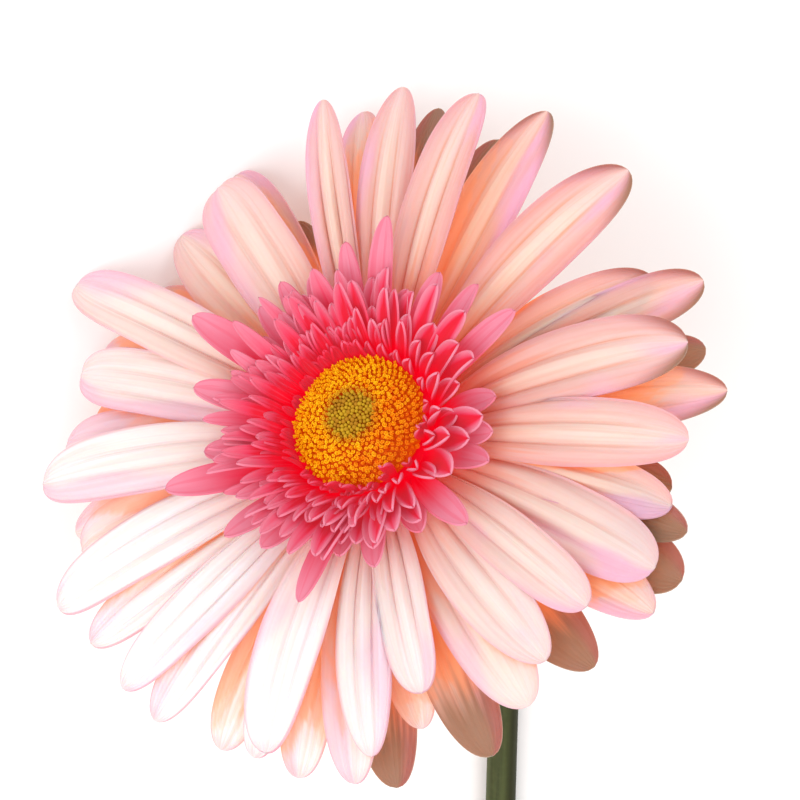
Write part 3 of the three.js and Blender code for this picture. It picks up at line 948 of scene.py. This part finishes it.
def packed(one, count, low, high, size, lean, seed):
    """Copies of one floret between two distances from the disc's middle."""
    draw = draw_from(seed)
    copies = []
    for i in range(count):
        r = math.sqrt(low ** 2 + (high ** 2 - low ** 2) * (i + 0.5) / count)
        grown = size * (1 + SIZE_STRAY * draw())
        copy = bpy.data.objects.new("floret", one.data.copy())
        bpy.context.collection.objects.link(copy)
        leant = math.radians(lean * (r / DISC_RADIUS) ** 2 + LEAN_STRAY * draw())
        place = Matrix.Rotation(i * GOLDEN_ANGLE, 4, "Z") @ Matrix.Translation((r, 0, dome(r))) \
            @ Matrix.Rotation(leant, 4, "Y") @ Matrix.Rotation(draw() * 3, 4, "Z") \
            @ Matrix.Scale(grown, 4)
        copy.data.transform(HEAD @ place)
        # The red side is partly the florets' own colour and partly painted shade away from the
        # light.
        red_and_shade = 1.2 * r / DISC_RADIUS * math.cos(i * GOLDEN_ANGLE - RED_AND_SHADED_SIDE) + 0.3 * draw()
        for name, value in (("tint", draw()), ("blush", min(1, max(0, red_and_shade - 0.1))),
                            ("young", min(1, max(0, YOUNG_WITHIN - r)))):
            numbers(copy.data, name, [value] * len(copy.data.vertices))
        copies.append(copy)
    bpy.data.objects.remove(one)
    return copies


# %% Disc of trumpets
base = turned("disc_base", 48, [
    (11.2, DISC_BOTTOM), (11.4, 1.8), (DISC_RADIUS - 0.1, DISC_EDGE - 0.3),
    *[(r, dome(r) - 0.5) for r in (10.8, 9.8, 8.2, 6.2, 4.2, 2)]])
open_florets = packed(trumpet(), count=640, low=3.9, high=11.3, size=0.64, lean=34, seed=5)
joined("disc_trumpets", [base, *open_florets], disc_skin(), "disc_florets")

# %% [markdown]
# ## Buds in the middle
#
# The florets open from the rim inwards, so the middle is still closed buds, olive and
# brown. A bud is a small egg from an ico sphere.

# %% Buds
def bud_skin():
    skin = Skin("disc_bud_skin", Roughness=0.55, Specular_IOR_Level=0.12)
    tint = skin.mark("tint")
    body = skin.mix(skin.step(tint, -0.6, 0.8), srgb(172, 120, 24), srgb(192, 152, 30))
    return skin.finish(Base_Color=body)


def bud():
    let_go()
    bpy.ops.mesh.primitive_ico_sphere_add(subdivisions=2, radius=0.45, location=(0, 0, 0))
    one = bpy.context.object
    bpy.ops.object.mode_set(mode="EDIT")
    bpy.ops.transform.resize(value=(1, 1, 1.5))
    bpy.ops.object.mode_set(mode="OBJECT")
    return one


buds = packed(bud(), count=120, low=0, high=4.1, size=0.82, lean=10, seed=9)
joined("disc_buds", buds, bud_skin(), "disc_centre")

# %% [markdown]
# ## The cup of bracts
#
# Behind the head a green cup carries three rings of narrow pointed bracts, a little hairy,
# darker along the middle and brown at the tip. The photograph doesn't show them, so they
# are those of any gerbera. A little sheen stands in for the down on them.

# %% Bract skin
def bract_skin():
    skin = Skin("bract_skin", Roughness=0.5, Specular_IOR_Level=0.35, Sheen_Weight=0.2,
                Subsurface_Weight=0.08, Subsurface_Scale=0.002)
    light, dark = srgb(120, 140, 80), srgb(78, 98, 52)
    across, along = skin.mark("across"), skin.mark("along")
    mottle = skin.noise(skin.place(), 420.0, 4.0)
    ridge = 1 - skin.step(across.math("ABSOLUTE"), 0.05, 0.5)
    body = skin.mix(skin.step(mottle, 0.3, 0.7), light, dark)
    body = skin.mix(ridge * 0.4, body, dark)
    body = skin.mix(skin.step(along, 0.75, 1.0) * 0.4, body, srgb(120, 90, 60))
    return skin.finish(Base_Color=body, Normal=skin.bump(mottle, 0.0001, 0.6))


# %% Cup and bracts
CUP_BOTTOM, CUP_TOP = -20, -7.3
CUP_FOOT, CUP_RIM = 3.4, 12.6
BRACT_SHEET = 0.7


def cup_radius(level):
    return CUP_FOOT + (CUP_RIM - CUP_FOOT) * (
        (level - CUP_BOTTOM) / (CUP_TOP - CUP_BOTTOM)) ** 0.62


BRACT_RINGS = [
    dict(count=12, level=-12, reach=15.6, rise=46, droop=22, width=3.8, turn=0),
    dict(count=12, level=-15.5, reach=13.6, rise=50, droop=14, width=3.4, turn=14),
    dict(count=8, level=-18, reach=9.6, rise=50, droop=8, width=3, turn=4),
]
cup = turned("cup", 40, [
    (cup_radius(level), level) for level in np.linspace(CUP_BOTTOM, CUP_TOP, 9)])
bract_blank = blank("bract_blank", columns=6, rows=12, root=0.85, point=1.1)
draw = draw_from(71)
bracts = [cup]
for ring in BRACT_RINGS:
    for i in range(ring["count"]):
        bracts.append(bent(bract_blank, dict(
            azimuth=ring["turn"] + 360 / ring["count"] * i, reach=ring["reach"] + 0.3 * draw(),
            width=ring["width"], root_radius=cup_radius(ring["level"]) - 0.4,
            root_level=ring["level"], rise=ring["rise"], droop=ring["droop"], sway=5 * draw(),
            roll=0, cup=0.25, groove=0, tint=draw()), BRACT_SHEET))
joined("green_cup", bracts, bract_skin(), "involucre")
bpy.data.objects.remove(bract_blank)

# %% [markdown]
# ## Stem
#
# The stem is a long round stalk, a little thicker at the cut end, olive green with fine
# streaks along it. Its side away from the light is nearly black in the photograph, more so
# than the lamps make it, so it is darkened by its place from left to right.

# %% Stem skin
def stem_skin():
    skin = Skin("stem_skin", Roughness=0.55, Specular_IOR_Level=0.15)
    place = skin.place()
    streak = skin.noise(place, 420.0, 4.0, stretch=(1, 0.04, 1))
    mottle = skin.noise(place, 900.0, 2.0)
    body = skin.mix(skin.step(streak, 0.35, 0.65), srgb(78, 86, 50), srgb(50, 55, 29))
    body = skin.mix(skin.step(mottle, 0.4, 0.8) * 0.25, body, srgb(88, 96, 58))
    sunless = skin.step(skin.node("ShaderNodeSeparateXYZ", {}, place), -0.0006, 0.0012)
    body = skin.mix(sunless * 0.8, body, srgb(40, 40, 20))
    body = skin.mix(skin.step(skin.mark("pith"), 0.2, 0.6), body, srgb(196, 206, 150))
    return skin.finish(Base_Color=body, Normal=skin.bump(streak + mottle * 0.3, 0.0003, 0.5))


# %% [markdown]
# ### Its path
#
# A curve with a round bevel is the quick way to a pipe with a smooth bend: three points
# carry it from beyond the cut along the table and up into the cup, with the same handles
# as the solid's neck. A point's radius is then half the stem's thickness there.

# %% Stem path
STEM_HALF, STEM_HALF_CUT = 2.8, 3.1
STEM_STRAIGHT_FROM, STEM_STRAIGHT_LENGTH = -62, 292
NECK_REACH, NECK_SWING, STEM_TOP = 42, 20, -20.3
BEYOND_CUT = Vector((0, 6, 0))
STRAIGHT = Vector((0, 60, 0))
bend = Vector((0, STEM_STRAIGHT_FROM - STEM_ORIGIN_AT, STEM_HALF))
cut = Vector((0, bend.y - STEM_STRAIGHT_LENGTH, STEM_HALF_CUT))
end = cut - BEYOND_CUT
top = HEAD @ Vector((0, 0, STEM_TOP)) / MM
along_head = (HEAD.to_3x3() @ Vector((0, 0, 1))).normalized()
let_go()
bpy.ops.curve.primitive_bezier_curve_add(location=(0, 0, 0))
stalk = bpy.context.object
stalk.name = "stalk_path"
path = stalk.data.splines[0]
path.bezier_points.add(1)
for point, place, before, after, half in zip(
        path.bezier_points, (end, bend, top),
        (end - STRAIGHT, bend - STRAIGHT, top - along_head * NECK_REACH),
        (end + STRAIGHT, bend + Vector((0, NECK_SWING, 0)), top + along_head * 10),
        (STEM_HALF_CUT, STEM_HALF, STEM_HALF)):
    point.handle_left_type = point.handle_right_type = "FREE"
    point.co, point.handle_left, point.handle_right = place, before, after
    point.radius = half
stalk.data.bevel_depth = 1
stalk.data.bevel_resolution = 10
stalk.data.resolution_u = 40
stalk.data.use_fill_caps = True
pick([stalk])
bpy.ops.object.convert(target="MESH")
stalk = bpy.context.object
stalk.data.transform(Matrix.Scale(MM, 4))
print("stem from", [round(n) for n in end], "to", [round(n) for n in top], "mm")

# %% [markdown]
# ### The cut
#
# Stems are cut on a slant, so that they drink. A plane trims the end, as a knife does, and
# the new face is stepped in a little way, which leaves the pale pith inside a green skin.

# %% Cut end
CUT_SLANT = 3.2  # how far along the stem the cut runs, from its middle to its top
SKIN_DEPTH = 0.7
bpy.ops.object.mode_set(mode="EDIT")
bpy.ops.mesh.select_all(action="SELECT")
bpy.ops.mesh.bisect(plane_co=(0, cut.y * MM, STEM_HALF_CUT * MM), clear_inner=True,
                    plane_no=(0, STEM_HALF_CUT, -CUT_SLANT), use_fill=True)
bpy.ops.mesh.inset(thickness=SKIN_DEPTH * MM)
bpy.ops.object.mode_set(mode="OBJECT")
pith = [1.0 if p.select else 0.0 for p in stalk.data.vertices]
numbers(stalk.data, "pith", pith)
print("points of the cut:", int(sum(pith)))
joined("stalk", [stalk], stem_skin(), "stem")

# %% [markdown]
# ## Light and floor
#
# The photograph is bright and soft, on white: the rays at its lower left nearly reach
# white, and those at the upper right are peach. So a broad key lamp stands to the lower
# left of the camera, a weaker one fills from the right, and a white sky does the rest. The
# floor is matt paper.

# %% Floor
let_go()
bpy.ops.mesh.primitive_plane_add(size=6, location=(0, 0, 0))
floor = bpy.context.object
floor.name = "floor"
paper = Skin("floor_paper", Base_Color=(0.97, 0.97, 0.97, 1), Roughness=0.9)
floor.data.materials.append(paper.material)
print("floor side:", round(floor.dimensions.x, 1), "m")

# %% Lamps
LAMP_SIZE = 1.6  # metres, as is LAMP_AWAY
LAMP_AWAY = 1.9
SKY = 0.86


def area_light(name, toward, power, colour=(1, 1, 1)):
    """A round lamp. toward is right, up and towards the camera, as the camera sees it."""
    lamp = bpy.data.objects.new(name, bpy.data.lights.new(name, "AREA"))
    lamp.data.shape, lamp.data.size = "DISK", LAMP_SIZE
    lamp.data.energy, lamp.data.color = power, colour
    direction = (view_turn @ Vector(toward)).normalized()
    lamp.location = HEAD.translation + direction * LAMP_AWAY
    lamp.rotation_euler = direction.to_track_quat("Z", "Y").to_euler()
    bpy.context.collection.objects.link(lamp)
    print(name, "lamp at", [round(n, 2) for n in lamp.location])


area_light("key", (-0.7, -0.5, 1.5), 18)
area_light("fill", (1.0, 0.2, 1.2), 9, (1, 0.97, 0.94))
world = bpy.data.worlds.new("studio")
world.use_nodes = True
world.node_tree.nodes["Background"].inputs["Color"].default_value = (1, 1, 1, 1)
world.node_tree.nodes["Background"].inputs["Strength"].default_value = SKY
bpy.context.scene.world = world
bpy.context.scene.view_settings.view_transform = "Standard"
